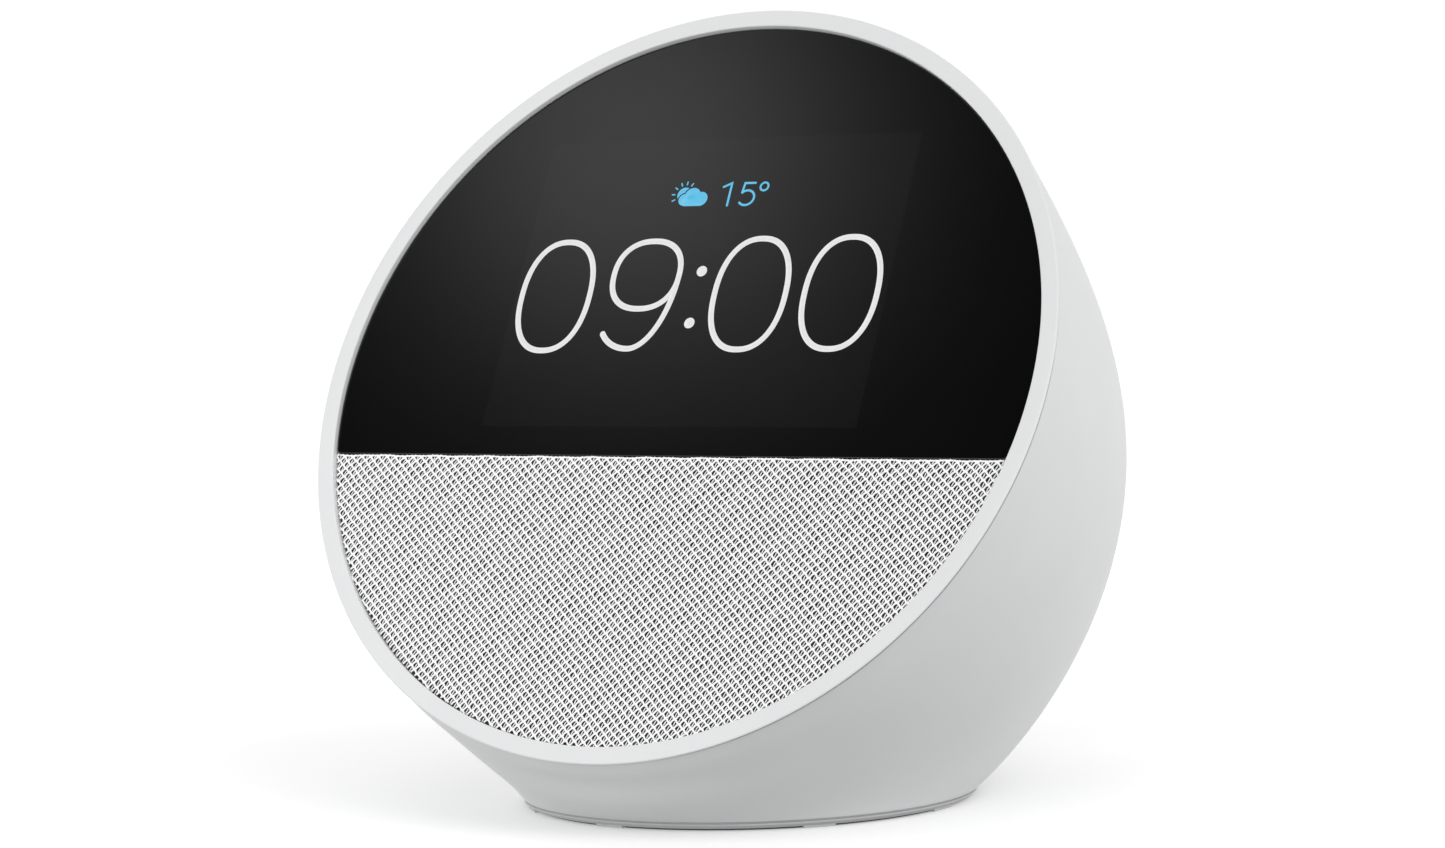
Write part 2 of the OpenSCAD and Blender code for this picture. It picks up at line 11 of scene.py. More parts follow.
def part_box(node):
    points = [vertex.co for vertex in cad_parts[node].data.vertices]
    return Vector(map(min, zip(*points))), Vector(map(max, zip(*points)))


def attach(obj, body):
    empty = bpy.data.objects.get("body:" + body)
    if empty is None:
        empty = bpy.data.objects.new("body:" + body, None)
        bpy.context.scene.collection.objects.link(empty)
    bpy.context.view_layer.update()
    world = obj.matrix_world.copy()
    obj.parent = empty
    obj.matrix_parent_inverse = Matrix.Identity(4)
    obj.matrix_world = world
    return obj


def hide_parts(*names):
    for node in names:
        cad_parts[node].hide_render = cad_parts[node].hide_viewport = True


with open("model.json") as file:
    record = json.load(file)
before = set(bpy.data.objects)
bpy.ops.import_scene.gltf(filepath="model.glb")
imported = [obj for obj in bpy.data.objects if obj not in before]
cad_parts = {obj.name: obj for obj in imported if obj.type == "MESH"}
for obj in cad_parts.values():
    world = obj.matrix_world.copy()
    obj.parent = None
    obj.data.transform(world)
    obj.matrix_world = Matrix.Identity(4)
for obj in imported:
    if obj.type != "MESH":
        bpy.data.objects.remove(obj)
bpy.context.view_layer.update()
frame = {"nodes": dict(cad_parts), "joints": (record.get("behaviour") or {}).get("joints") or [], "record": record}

MM = 0.001
FULL_TURN = 2 * math.pi


# ---- places taken from the frame ---------------------------------------------------------------
def joint(name):
    return next(j for j in frame["joints"] if j["name"] == name)


def unit(vector):
    vector = np.array(vector, float)
    return vector / np.linalg.norm(vector)


def node_points(name):
    return np.array([v.co for v in frame["nodes"][name].data.vertices], float)


class Place:
    """A flat frame of reference: across, up and outwards from an origin."""

    def __init__(self, origin, outwards, across=(1, 0, 0)):
        self.origin = np.array(origin, float)
        self.out = unit(outwards)
        self.across = unit(across)
        self.up = np.cross(self.out, self.across)

    def point(self, x, v, height):
        x, v, height = np.broadcast_arrays(x, v, height)
        return (self.origin + x[..., None] * self.across + v[..., None] * self.up
                + height[..., None] * self.out)

    def local(self, points):
        offset = np.asarray(points) - self.origin
        return offset @ self.across, offset @ self.up, offset @ self.out


FACE_OUT = -unit(joint("cone_travel")["axis"])
rim_x, rim_v, rim_height = Place((0, 0, 0), FACE_OUT).local(node_points("rim_bezel"))
face_centre = Place((0, 0, 0), FACE_OUT).point(0, (rim_v.min() + rim_v.max()) / 2,
                                               rim_height.max())
FACE = Place(face_centre, FACE_OUT)
RIM_R = rim_x.max()
TILT = math.asin(FACE_OUT[2])


def face_extent(node):
    """Lowest and highest (x, v, height) of a node in the face's frame."""
    local = np.array(FACE.local(node_points(node)))
    return local.min(1), local.max(1)


# ---- building meshes ---------------------------------------------------------------------------
def piece(name, points, faces, material, body="housing", slot=None, replaces=(), flat_faces=()):
    mesh = bpy.data.meshes.new(name)
    mesh.from_pydata([tuple(p) for p in points], [], [tuple(int(i) for i in f) for f in faces])
    mesh.validate()
    mesh.shade_smooth()
    for index in flat_faces:
        mesh.polygons[index].use_smooth = False
    obj = bpy.data.objects.new(name, mesh)
    bpy.context.scene.collection.objects.link(obj)
    obj.data.materials.append(material)
    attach(obj, body)
    if replaces:
        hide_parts(*replaces)
    return obj


def band_faces(rows, columns, closed_rows=False, start=0):
    """Quads between the rows of a grid whose columns run all the way round."""
    last = rows if closed_rows else rows - 1
    faces = []
    for j in range(last):
        for i in range(columns):
            k, m = (i + 1) % columns, (j + 1) % rows
            faces.append((start + j * columns + i, start + j * columns + k,
                          start + m * columns + k, start + m * columns + i))
    return faces


def arc(centre, radius, start, end, steps):
    """Points of a round stretch of a section; angles in degrees."""
    angles = np.radians(np.linspace(start, end, steps + 1))
    return [(centre[0] + radius * math.cos(a), centre[1] + radius * math.sin(a)) for a in angles]


def lathe(name, place, section, material, segments=256, **facts):
    """A closed section of (radius, height) points, turned about the place's own axis."""
    turns = np.arange(segments) * FULL_TURN / segments
    rows = [place.point(r * np.cos(turns), r * np.sin(turns), h + 0 * turns) for r, h in section]
    points = np.concatenate(rows)
    return piece(name, points, band_faces(len(section), segments, closed_rows=True), material, **facts)


# ---- materials ---------------------------------------------------------------------------------
def new_material(name):
    material = bpy.data.materials.new(name)
    material.use_nodes = True
    tree = material.node_tree
    return material, tree, tree.nodes["Principled BSDF"]


def noise(tree, scale, detail=3.0):
    place = tree.nodes.get("place") or tree.nodes.new("ShaderNodeTexCoord")
    place.name = "place"
    node = tree.nodes.new("ShaderNodeTexNoise")
    node.inputs["Scale"].default_value = scale
    node.inputs["Detail"].default_value = detail
    tree.links.new(place.outputs["Object"], node.inputs["Vector"])
    return node.outputs["Fac"]


def ramp(tree, factor, low, high, start=0.35, end=0.65):
    """A colour that runs from low to high as the factor runs from start to end."""
    node = tree.nodes.new("ShaderNodeValToRGB")
    node.color_ramp.elements[0].position = start
    node.color_ramp.elements[1].position = end
    node.color_ramp.elements[0].color = (*low, 1)
    node.color_ramp.elements[1].color = (*high, 1)
    tree.links.new(factor, node.inputs["Fac"])
    return node.outputs["Color"]


def span(tree, factor, low, high):
    node = tree.nodes.new("ShaderNodeMapRange")
    node.inputs["To Min"].default_value = low
    node.inputs["To Max"].default_value = high
    tree.links.new(factor, node.inputs["Value"])
    return node.outputs["Result"]


def bump(tree, height, distance, strength=1.0):
    node = tree.nodes.new("ShaderNodeBump")
    node.inputs["Distance"].default_value = distance
    node.inputs["Strength"].default_value = strength
    tree.links.new(height, node.inputs["Height"])
    return node.outputs["Normal"]


def plastic(name, colour, roughness, spread=0.03, grain=0.004, specular=0.5):
    """Moulded plastic: a colour with a slight cloudiness, and a fine spark-eroded grain."""
    material, tree, shader = new_material(name)
    low = [max(0, c - spread / 2) for c in colour]
    high = [c + spread / 2 for c in colour]
    tree.links.new(ramp(tree, noise(tree, 90), low, high), shader.inputs["Base Color"])
    tree.links.new(span(tree, noise(tree, 1400), roughness - 0.04, roughness + 0.04),
                   shader.inputs["Roughness"])
    tree.links.new(bump(tree, noise(tree, 5200, 2), grain * MM), shader.inputs["Normal"])
    shader.inputs["Specular IOR Level"].default_value = specular
    return material


def metal(name, colour, roughness, streak=(1, 1, 1)):
    """Plain or plated metal with fine drawn streaks."""
    material, tree, shader = new_material(name)
    place = tree.nodes.new("ShaderNodeTexCoord")
    stretch = tree.nodes.new("ShaderNodeMapping")
    stretch.inputs["Scale"].default_value = streak
    streaks = tree.nodes.new("ShaderNodeTexNoise")
    streaks.inputs["Scale"].default_value = 900
    tree.links.new(place.outputs["Object"], stretch.inputs["Vector"])
    tree.links.new(stretch.outputs["Vector"], streaks.inputs["Vector"])
    low = [c * 0.85 for c in colour]
    tree.links.new(ramp(tree, streaks.outputs["Fac"], low, colour), shader.inputs["Base Color"])
    tree.links.new(span(tree, streaks.outputs["Fac"], roughness - 0.08, roughness + 0.08),
                   shader.inputs["Roughness"])
    shader.inputs["Metallic"].default_value = 1
    return material


def cloth_material(name, low, high, roughness=0.9, sheen=0.25):
    """Yarn: fine fibres that vary in tone, with a soft sheen."""
    material, tree, shader = new_material(name)
    tree.links.new(ramp(tree, noise(tree, 2600), low, high), shader.inputs["Base Color"])
    tree.links.new(bump(tree, noise(tree, 9000, 2), 0.03 * MM), shader.inputs["Normal"])
    shader.inputs["Roughness"].default_value = roughness
    shader.inputs["Sheen Weight"].default_value = sheen
    return material


def lit_artwork(name, colour, strength):
    """A lit part of the display, seen through the glass: its light, with the glass's own gloss."""
    material, tree, shader = new_material(name)
    shader.inputs["Base Color"].default_value = (0.01, 0.01, 0.01, 1)
    low = [c * 0.94 for c in colour]
    tree.links.new(ramp(tree, noise(tree, 1500), low, colour), shader.inputs["Emission Color"])
    shader.inputs["Emission Strength"].default_value = strength
    shader.inputs["Roughness"].default_value = 0.08
    return material


def glass_material(name, black):
    """Glass over a black backing: deep black under a polished surface of slightly uneven gloss."""
    material, tree, shader = new_material(name)
    tree.links.new(ramp(tree, noise(tree, 40), (black * 0.85,) * 3, (black * 1.15,) * 3),
                   shader.inputs["Base Color"])
    tree.links.new(span(tree, noise(tree, 300), 0.03, 0.06), shader.inputs["Roughness"])
    shader.inputs["IOR"].default_value = 1.52
    return material


SHELL_WHITE = plastic("white_satin_shell", (0.68, 0.685, 0.69), 0.42, spread=0.012)
RIM_WHITE = plastic("white_satin_rim", (0.71, 0.715, 0.72), 0.38, spread=0.01)
FOOT_GREY = plastic("light_grey_foot_plastic", (0.44, 0.445, 0.45), 0.5, spread=0.015)
KEY_WHITE = plastic("white_key_plastic", (0.70, 0.705, 0.71), 0.36, spread=0.012)
SYMBOL_GREY = plastic("grey_key_symbol", (0.30, 0.31, 0.32), 0.5)
# The seam's grey is painted shade: a dark band for the shadow in the gap between rim and shell.
SEAM_SHADE_GREY = plastic("painted_seam_shadow", (0.16, 0.16, 0.165), 0.7, spread=0.01)
GLASS_BLACK = glass_material("black_glass", 0.0021)
THREAD_WHITE = cloth_material("white_yarn", (0.93, 0.93, 0.935), (0.98, 0.98, 0.985))
# Near-black ground under the knit: painted shade, standing for the shadow seen through the knit's holes.
KNIT_HOLE_SHADE = cloth_material("knit_hole_painted_shade", (0.02, 0.02, 0.021), (0.04, 0.04, 0.041))


# ---- rim ---------------------------------------------------------------------------------------
glass_low, glass_high = face_extent("cover_glass")
cloth_low, cloth_high = face_extent("speaker_cloth")
# The rim's side, the seam behind it, and where shell, seam and base meet.
RIM_SIDE = 0.6 * MM
SEAM = 0.22 * MM
MOUTH_R, MOUTH_DEPTH, WALL = 56.3 * MM, 1.35 * MM, 1.2 * MM
FOOT_R, FOOT_Z = 31.8 * MM, 1.2 * MM
BAND_TOP = 1.0 * MM
CLEAR = 0.01 * MM
RECESS = -glass_high[2]
GLASS_BACK = -glass_low[2]
GLASS_R, GLASS_CHORD = glass_high[0], glass_low[1]
OPENING_R = glass_high[0] + 0.1 * MM


def make_rim():
    """Flat front band, softly rounded outside, with a small round edge to the recess."""
    outer, inner = 0.28 * MM, 0.22 * MM
    taper = 0.19 * MM
    skirt_r, back_r, back = 54.9 * MM, 53.4 * MM, 5.0 * MM
    ledge_r, ledge = 52.4 * MM, -GLASS_BACK - 0.04 * MM
    section = (
        [(RIM_R - taper, -RIM_SIDE)]
        + arc((RIM_R - outer, -outer), outer, 0, 90, 6)
        + arc((OPENING_R + inner, -inner), inner, 90, 180, 5)
        + [(OPENING_R, -RECESS), (OPENING_R, ledge), (ledge_r, ledge), (ledge_r, -back),
           (back_r, -back), (skirt_r, -RIM_SIDE)]
    )
    lathe("rim", FACE, section, RIM_WHITE, segments=320, slot="rim_plastic", replaces=["rim_bezel"])


def make_seam():
    """A thin grey ring between the rim and the shell, just below their surfaces: painted shade, standing for the
    shadow in the narrow gap there.
    """
    front, back = -RIM_SIDE - CLEAR, -RIM_SIDE - SEAM + CLEAR
    inner, outer = MOUTH_R - WALL, MOUTH_R - 0.07 * MM
    section = [(outer, back), (outer, front), (inner, front), (inner, back)]
    lathe("seam_shadow_ring", FACE, section, SEAM_SHADE_GREY, segments=320, slot="rim_plastic")


def make_foot_seam():
    """A thin ring of the base's own grey between the shell and the base, just below their surfaces."""
    front, back = FOOT_Z - CLEAR, BAND_TOP + CLEAR
    inner, outer = 29.6 * MM, FOOT_R - 0.28 * MM
    section = [(outer, back), (outer, front), (inner, front), (inner, back)]
    lathe("foot_seam", Place((0, 0, 0), (0, 0, 1)), section, FOOT_GREY, segments=256,
          slot="foot_plastic")


make_rim()
make_seam()
make_foot_seam()


# ---- shell -------------------------------------------------------------------------------------
# The same surface as the CAD shell: each section is an ellipse hinged about the line where the
# plane of the mouth meets the table, and three curves set its rear, front and side. Near the
# mouth it reaches on by LIP, up to the narrow seam behind the rim.
LIP, LIP_FROM = MOUTH_DEPTH - RIM_SIDE - SEAM, 0.88
mouth_low = FACE.point(0, -MOUTH_R, -MOUTH_DEPTH)
HINGE_Y = mouth_low[1] - mouth_low[2] * math.tan(TILT)
MOUTH_NEAR = mouth_low[2] / math.cos(TILT)
REAR = [FOOT_R - HINGE_Y, 128 * MM, 122.5 * MM, 119 * MM, MOUTH_NEAR + 2 * MOUTH_R]
FRONT = [-FOOT_R - HINGE_Y, 8.7 * MM, 13 * MM, 9.5 * MM, MOUTH_NEAR]
SIDE = [FOOT_R, 39.5 * MM, 51 * MM, 55 * MM, 55.5 * MM, MOUTH_R]


def bezier(controls, t):
    controls = [c + 0 * t for c in controls]
    while len(controls) > 1:
        controls = [a * (1 - t) + b * t for a, b in zip(controls, controls[1:])]
    return controls[0]


def shell_point(t, turn, inset=0.0):
    """t runs from the foot to the mouth, turn (radians) from the front round to the rear."""
    rear, front = bezier(REAR, t) - inset, bezier(FRONT, t) + inset
    side = bezier(SIDE, t) - inset
    reach = (rear + front) / 2 - (rear - front) / 2 * np.cos(turn)
    lift = (math.pi / 2 - TILT) * t
    point = np.stack([side * np.sin(turn), HINGE_Y + reach * np.cos(lift),
                      FOOT_Z * (1 - t) + reach * np.sin(lift)], -1)
    lip = LIP * (np.maximum(t - LIP_FROM, 0) / (1 - LIP_FROM)) ** 2
    return point + np.asarray(lip)[..., None] * FACE_OUT


ROWS, COLUMNS = 120, 360
EDGE_R = 0.3 * MM
MOUTH_EDGE_R = 0.06 * MM
LIP_STEPS = 4


def along(t, turn):
    """Unit direction towards the mouth, and its length per unit of t."""
    step = 1e-4
    rise = (shell_point(t + step, turn) - shell_point(t - step, turn)) / (2 * step)
    length = np.linalg.norm(rise, axis=-1)
    return rise / length[..., None], length


def edge_share(t, turn, radius):
    """How much of t the rounding of an edge takes up, at each turn."""
    return radius / along(t, turn)[1]


def shell_t(share, turn):
    """t for a share of the way between the rounded edges of foot and mouth."""
    low = edge_share(0.0 * turn, turn, EDGE_R)
    high = edge_share(1.0 + 0.0 * turn, turn, MOUTH_EDGE_R)
    return low + (1 - low - high) * share


class Hole:
    """A round hole through the shell along a place's own axis.

    half_width and half_height count the cells of the shell that its rings take up.
    """

    def __init__(self, place, x, radius, half_width, half_height):
        self.place, self.x, self.radius = place, x, radius
        self.half_width, self.half_height = half_width, half_height

    def flat(self, share, turn, inset):
        x, v, _ = self.place.local(shell_point(shell_t(share, turn), turn, inset))
        return np.stack([x - self.x, v], -1)

    def solve(self, target, share, turn, inset):
        """Where on the shell the given flat points are, from a first guess."""
        step = 1e-5
        for _ in range(12):
            at = self.flat(share, turn, inset)
            by_share = (self.flat(share + step, turn, inset) - at) / step
            by_turn = (self.flat(share, turn + step, inset) - at) / step
            error = target - at
            det = by_share[..., 0] * by_turn[..., 1] - by_share[..., 1] * by_turn[..., 0]
            share = share + (error[..., 0] * by_turn[..., 1] - error[..., 1] * by_turn[..., 0]) / det
            turn = turn + (by_share[..., 0] * error[..., 1] - by_share[..., 1] * error[..., 0]) / det
        return share, turn


# The keys and the microphones' pinholes sit in a row across the upper rear; the inlet is below.
key_axis = -unit(joint("mic_press")["axis"])
KEY_T = 0.82
KEYS = Place(shell_point(np.array(KEY_T), np.array(math.pi)), key_axis)
KEY_PITCH = (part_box("volume_up_key")[0].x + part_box("volume_up_key")[1].x) / 2
KEY_HOLE_R = 4.9 * MM
KEY_CAP_R = 4.6 * MM
PINHOLE_R, PINHOLE_X = 0.7 * MM, 23 * MM
inlet_low, inlet_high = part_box("inlet_surround")
INLET_R = inlet_high.x + 0.2 * MM
INLET = Place((0, inlet_low.y, (inlet_low.z + inlet_high.z) / 2), (0, 1, 0), across=(-1, 0, 0))
HOLES = (
    [Hole(KEYS, x, KEY_HOLE_R, 6, 6) for x in (-KEY_PITCH, 0, KEY_PITCH)]
    + [Hole(KEYS, x, PINHOLE_R, 2, 2) for x in (-PINHOLE_X, PINHOLE_X)]
    + [Hole(INLET, 0, INLET_R, 12, 9)]
)


def ring_indices(j0, j1, i0, i1):
    """Grid points round a block of cells, in order."""
    return ([(j0, i) for i in range(i0, i1)] + [(j, i1) for j in range(j0, j1)]
            + [(j1, i) for i in range(i1, i0, -1)] + [(j, i0) for j in range(j1, j0, -1)])


class Skin:
    """One side of the shell wall, with a ring of quads laid round each hole."""

    def __init__(self, inset):
        self.inset = inset
        share = np.repeat(np.linspace(0, 1, ROWS + 1), COLUMNS)
        turn = np.tile(np.arange(COLUMNS) * FULL_TURN / COLUMNS, ROWS + 1)
        self.points = list(shell_point(shell_t(share, turn), turn, inset))
        self.covered = set()
        self.faces = []
        self.mouths = [self.lay_round(hole) for hole in HOLES]
        for j in range(ROWS):
            for i in range(COLUMNS):
                if (j, i) not in self.covered:
                    self.faces.append([self.at(j, i), self.at(j, i + 1),
                                       self.at(j + 1, i + 1), self.at(j + 1, i)])

    def at(self, j, i):
        return j * COLUMNS + i % COLUMNS

    def nearest(self, hole):
        share = np.linspace(0.02, 0.98, 400)[:, None]
        turn = np.linspace(0.6, 1.4, 401)[None, :] * math.pi
        gap = np.linalg.norm(hole.flat(share + 0 * turn, turn + 0 * share, self.inset), axis=-1)
        j, i = np.unravel_index(gap.argmin(), gap.shape)
        return share[j, 0] * ROWS, turn[0, i] / FULL_TURN * COLUMNS

    def lay_round(self, hole):
        """Covers a block of cells with rings that end at the hole; returns the hole's own ring."""
        row, column = (round(x) for x in self.nearest(hole))
        j0, j1 = row - hole.half_height, row + hole.half_height
        i0, i1 = column - hole.half_width, column + hole.half_width
        self.covered |= {(j, i) for j in range(j0, j1) for i in range(i0, i1)}
        cells = ring_indices(j0, j1, i0, i1)
        outer = np.array([self.at(j, i) for j, i in cells])
        share = np.array([j / ROWS for j, i in cells])
        turn = np.array([i * FULL_TURN / COLUMNS for j, i in cells])
        rim = hole.flat(share, turn, self.inset)
        angle = np.arctan2(rim[:, 1], rim[:, 0])
        lip = EDGE_R if self.inset == 0 and hole.radius > PINHOLE_R else 0.1 * MM
        edge = (hole.radius + lip) * np.stack([np.cos(angle), np.sin(angle)], -1)
        centre_share, centre_turn = row / ROWS, column * FULL_TURN / COLUMNS
        previous = outer
        for part in (0.75, 0.5, 0.25, 0.06, 0.0):
            target = edge * (1 - part) + rim * part
            guess_share = centre_share + (share - centre_share) * (0.6 + 0.4 * part)
            guess_turn = centre_turn + (turn - centre_turn) * (0.6 + 0.4 * part)
            s, a = hole.solve(target, guess_share, guess_turn, self.inset)
            start = len(self.points)
            self.points.extend(shell_point(shell_t(s, a), a, self.inset))
            ring = np.arange(start, start + len(cells))
            for k in range(len(cells)):
                n = (k + 1) % len(cells)
                self.faces.append([previous[k], previous[n], ring[n], ring[k]])
            previous = ring
        return previous


def make_shell():
    outer, inner = Skin(0.0), Skin(WALL)
    points = outer.points + inner.points
    shift = len(outer.points)
    faces = outer.faces + [[i + shift for i in reversed(f)] for f in inner.faces]

    def join(first, second):
        count = len(first)
        for k in range(count):
            n = (k + 1) % count
            faces.append([first[k], first[n], second[n], second[k]])

    def add_ring(ring_points):
        start = len(points)
        points.extend(ring_points)
        return list(range(start, start + len(ring_points)))

    turn = np.arange(COLUMNS) * FULL_TURN / COLUMNS
    for share, end, edge in ((0.0, -1, EDGE_R), (1.0, 1, MOUTH_EDGE_R)):
        t = shell_t(share + 0 * turn, turn)
        forwards = along(t, turn)[0] * end
        inwards = shell_point(t, turn, WALL) - shell_point(t, turn, 0)
        inwards /= np.linalg.norm(inwards, axis=-1)[:, None]
        row = ROWS if share else 0
        previous = [outer.at(row, i) for i in range(COLUMNS)]
        centre = shell_point(t, turn, 0) + inwards * edge
        for angle in np.linspace(0, math.pi / 2, LIP_STEPS + 1)[1:]:
            ring = add_ring(centre - inwards * edge * math.cos(angle)
                            + forwards * edge * math.sin(angle))
            join(*((ring, previous) if end < 0 else (previous, ring)))
            previous = ring
        last = [shift + inner.at(row, i) for i in range(COLUMNS)]
        join(*((last, previous) if end < 0 else (previous, last)))

    for hole, mouth, inner_mouth in zip(HOLES, outer.mouths, inner.mouths):
        ring_points = np.array([points[i] for i in mouth])
        x, v, height = hole.place.local(ring_points)
        radial = np.stack([x - hole.x, v], -1)
        radius = np.linalg.norm(radial, axis=-1)
        radial /= radius[:, None]
        lip = radius.mean() - hole.radius
        previous = list(mouth)
        for angle in np.linspace(0, math.pi / 2, LIP_STEPS + 1)[1:]:
            r = hole.radius + lip * (1 - math.sin(angle))
            ring = add_ring(hole.place.point(hole.x + radial[:, 0] * r, radial[:, 1] * r,
                                             height - lip * (1 - math.cos(angle))))
            join(previous, ring)
            previous = ring
        join(previous, [shift + i for i in inner_mouth])

    used = sorted({int(i) for f in faces for i in f})
    new_index = {old: new for new, old in enumerate(used)}
    faces = [[new_index[int(i)] for i in f] for f in faces]
    points = [points[i] for i in used]
    return piece("shell", points, faces, SHELL_WHITE, slot="shell_plastic", replaces=["body_shell"])


make_shell()


# ---- flat plates in the face -------------------------------------------------------------------
def face_outline(radius, chord, corner, side, inset=0.0):
    """A disc cut off along v = chord, above (side 1) or below it (side -1), with round corners."""
    radius, corner = radius - inset, corner - inset
    centre_v = chord + side * (inset + corner)
    centre_x = math.sqrt((radius - corner) ** 2 - centre_v ** 2)
    tip = math.atan2(centre_v, centre_x)
    round_part = np.linspace(tip, side * math.pi - tip, 300)
    left = np.linspace(side * math.pi - tip, side * 1.5 * math.pi, 9)[1:]
    right = np.linspace(side * 1.5 * math.pi, side * 2 * math.pi + tip, 9)[:-1]
    straight = np.linspace(-centre_x, centre_x, 60)[1:-1]
    x = np.concatenate([radius * np.cos(round_part), -centre_x + corner * np.cos(left), straight,
                        centre_x + corner * np.cos(right)])
    v = np.concatenate([radius * np.sin(round_part), centre_v + corner * np.sin(left),
                        chord + side * inset + 0 * straight, centre_v + corner * np.sin(right)])
    return np.stack([x, v], -1)[::side]


def plate(name, outline, low, high, edge, material, open_back=False, **facts):
    """A plate with a rounded front edge; outline(inset) gives the points of its edge."""
    rings = [(0.0, low)]
    for angle in np.linspace(0, math.pi / 2, 6):
        rings.append((edge * (1 - math.cos(angle)), high - edge * (1 - math.sin(angle))))
    loops = [outline(inset) for inset, _ in rings]
    count = len(loops[0])
    points = np.concatenate([FACE.point(loop[:, 0], loop[:, 1], height)
                             for loop, (_, height) in zip(loops, rings)])
    faces = band_faces(len(rings), count)
    faces.append(list(range((len(rings) - 1) * count, len(rings) * count)))
    flat = [len(faces) - 1]
    if not open_back:
        faces.append(list(range(count))[::-1])
        flat.append(len(faces) - 1)
    return piece(name, points, faces, material, flat_faces=flat, **facts)


# ---- cover glass -------------------------------------------------------------------------------
CORNER_R = 1.0 * MM


def make_glass():
    def outline(inset):
        return face_outline(GLASS_R, GLASS_CHORD, CORNER_R, 1, inset)
    plate("glass", outline, -GLASS_BACK, -RECESS, 0.16 * MM, GLASS_BLACK,
          slot="cover_glass", replaces=["cover_glass"])


make_glass()


# ---- the display's window, just seen in the glass ----------------------------------------------
def make_window():
    half_width, low, high = 29.4 * MM, -7.5 * MM, 36.6 * MM

    def outline(inset):
        x, v = half_width - inset, np.array([low + inset, high - inset])
        return np.array([(-x, v[0]), (x, v[0]), (x, v[1]), (-x, v[1])])
    plate("display_window", outline, -RECESS - 0.01 * MM, -RECESS + 0.008 * MM, 0.004 * MM,
          WINDOW_GLOW_BLACK, slot="display")


# A black a little lighter than the glass's own: painted glow of the display's backlight through the window.
WINDOW_GLOW_BLACK = glass_material("window_painted_glow", 0.0045)
make_window()


# ---- what the display shows --------------------------------------------------------------------
PRINT_T = 0.03 * MM
PRINT_HEIGHT = -RECESS + 0.02 * MM


def on_glass(x, v):
    return PRINT_HEIGHT + 0 * x


def superellipse(centre, half_width, half_height, power=2.3, steps=96):
    turns = np.arange(steps) * FULL_TURN / steps
    c, s = np.cos(turns), np.sin(turns)
    return np.stack([centre[0] + half_width * np.sign(c) * np.abs(c) ** (2 / power),
                     centre[1] + half_height * np.sign(s) * np.abs(s) ** (2 / power)], -1)


def oval_arc(centre, half_width, half_height, start, end, steps=32):
    turns = np.radians(np.linspace(start, end, steps))
    return np.stack([centre[0] + half_width * np.cos(turns),
                     centre[1] + half_height * np.sin(turns)], -1)


def even_path(path, spacing, closed):
    """The same path with evenly spaced points, so that a stroke along it turns smoothly."""
    path = np.array(path, float)
    if closed:
        path = np.vstack([path, path[:1]])
    length = np.concatenate([[0], np.cumsum(np.linalg.norm(np.diff(path, axis=0), axis=1))])
    count = max(2, int(length[-1] / spacing) + 1)
    at = np.linspace(0, length[-1], count)
    even = np.stack([np.interp(at, length, path[:, k]) for k in (0, 1)], -1)
    return even[:-1] if closed else even


def stroke(path, width, surface, place, closed=False, sharp=False):
    """Points and faces of a thin line of even width, in mm, laid on a surface with round ends."""
    path = np.array(path, float) if sharp else even_path(path, width / 3, closed)
    if closed:
        ahead, behind = np.roll(path, -1, 0), np.roll(path, 1, 0)
    else:
        ahead = np.vstack([path[1:], 2 * path[-1] - path[-2]])
        behind = np.vstack([2 * path[0] - path[1], path[:-1]])
    first, second = path - behind, ahead - path
    first /= np.linalg.norm(first, axis=1)[:, None]
    second /= np.linalg.norm(second, axis=1)[:, None]
    bisector = first + second
    bisector /= np.linalg.norm(bisector, axis=1)[:, None]
    mitre = 1 / (bisector * first).sum(1)
    normal = np.stack([-bisector[:, 1], bisector[:, 0]], -1)
    half = width / 2 * mitre
    if not closed:
        share = np.array([0.985, 0.9, 0.7, 0.4])
        tail, head = -first[0], second[-1]
        path = np.vstack([path[0] + tail * width / 2 * share[:, None], path,
                          path[-1] + head * width / 2 * share[::-1, None]])
        thin = width / 2 * np.sqrt(1 - share ** 2)
        half = np.concatenate([thin, half, thin[::-1]])
        ends = len(share)
        normal = np.vstack([np.repeat(normal[:1], ends, 0), normal,
                            np.repeat(normal[-1:], ends, 0)])
    left, right = (path + normal * half[:, None]) * MM, (path - normal * half[:, None]) * MM
    rings = []
    for side, lift in ((left, 0), (right, 0), (right, -PRINT_T), (left, -PRINT_T)):
        rings.append(place.point(side[:, 0], side[:, 1], surface(side[:, 0], side[:, 1]) + lift))
    count = len(path)
    faces = []
    for k in range(count if closed else count - 1):
        n = (k + 1) % count
        faces += [(a * count + k, b * count + k, b * count + n, a * count + n)
                  for a, b in ((0, 1), (1, 2), (2, 3), (3, 0))]
    if not closed:
        faces.append(tuple(a * count for a in (3, 2, 1, 0)))
        faces.append(tuple(a * count + count - 1 for a in (0, 1, 2, 3)))
    return np.concatenate(rings), faces


def blot(centre, inside, reach, surface, place, steps=160, trials=1500):
    """A thin filled patch: from its centre, each ray runs to where inside() first fails."""
    turns = np.arange(steps) * FULL_TURN / steps
    far = np.linspace(0, reach, trials)
    x = centre[0] + far[None, :] * np.cos(turns)[:, None]
    v = centre[1] + far[None, :] * np.sin(turns)[:, None]
    out = ~inside(x, v)
    out[:, -1] = True
    end = far[out.argmax(1)]
    x = (centre[0] + end * np.cos(turns)) * MM
    v = (centre[1] + end * np.sin(turns)) * MM
    points = np.concatenate([place.point(x, v, surface(x, v) - PRINT_T),
                             place.point(x, v, surface(x, v))])
    faces = band_faces(2, steps) + [list(range(steps))[::-1], list(range(steps, 2 * steps))]
    return points, faces


def print_marks(name, marks, material, **facts):
    """One piece out of several strokes and blots."""
    points, faces = [], []
    for mark_points, mark_faces in marks:
        shift = sum(len(p) for p in points)
        points.append(mark_points)
        faces += [[i + shift for i in face] for face in mark_faces]
    return piece(name, np.concatenate(points), faces, material, **facts)


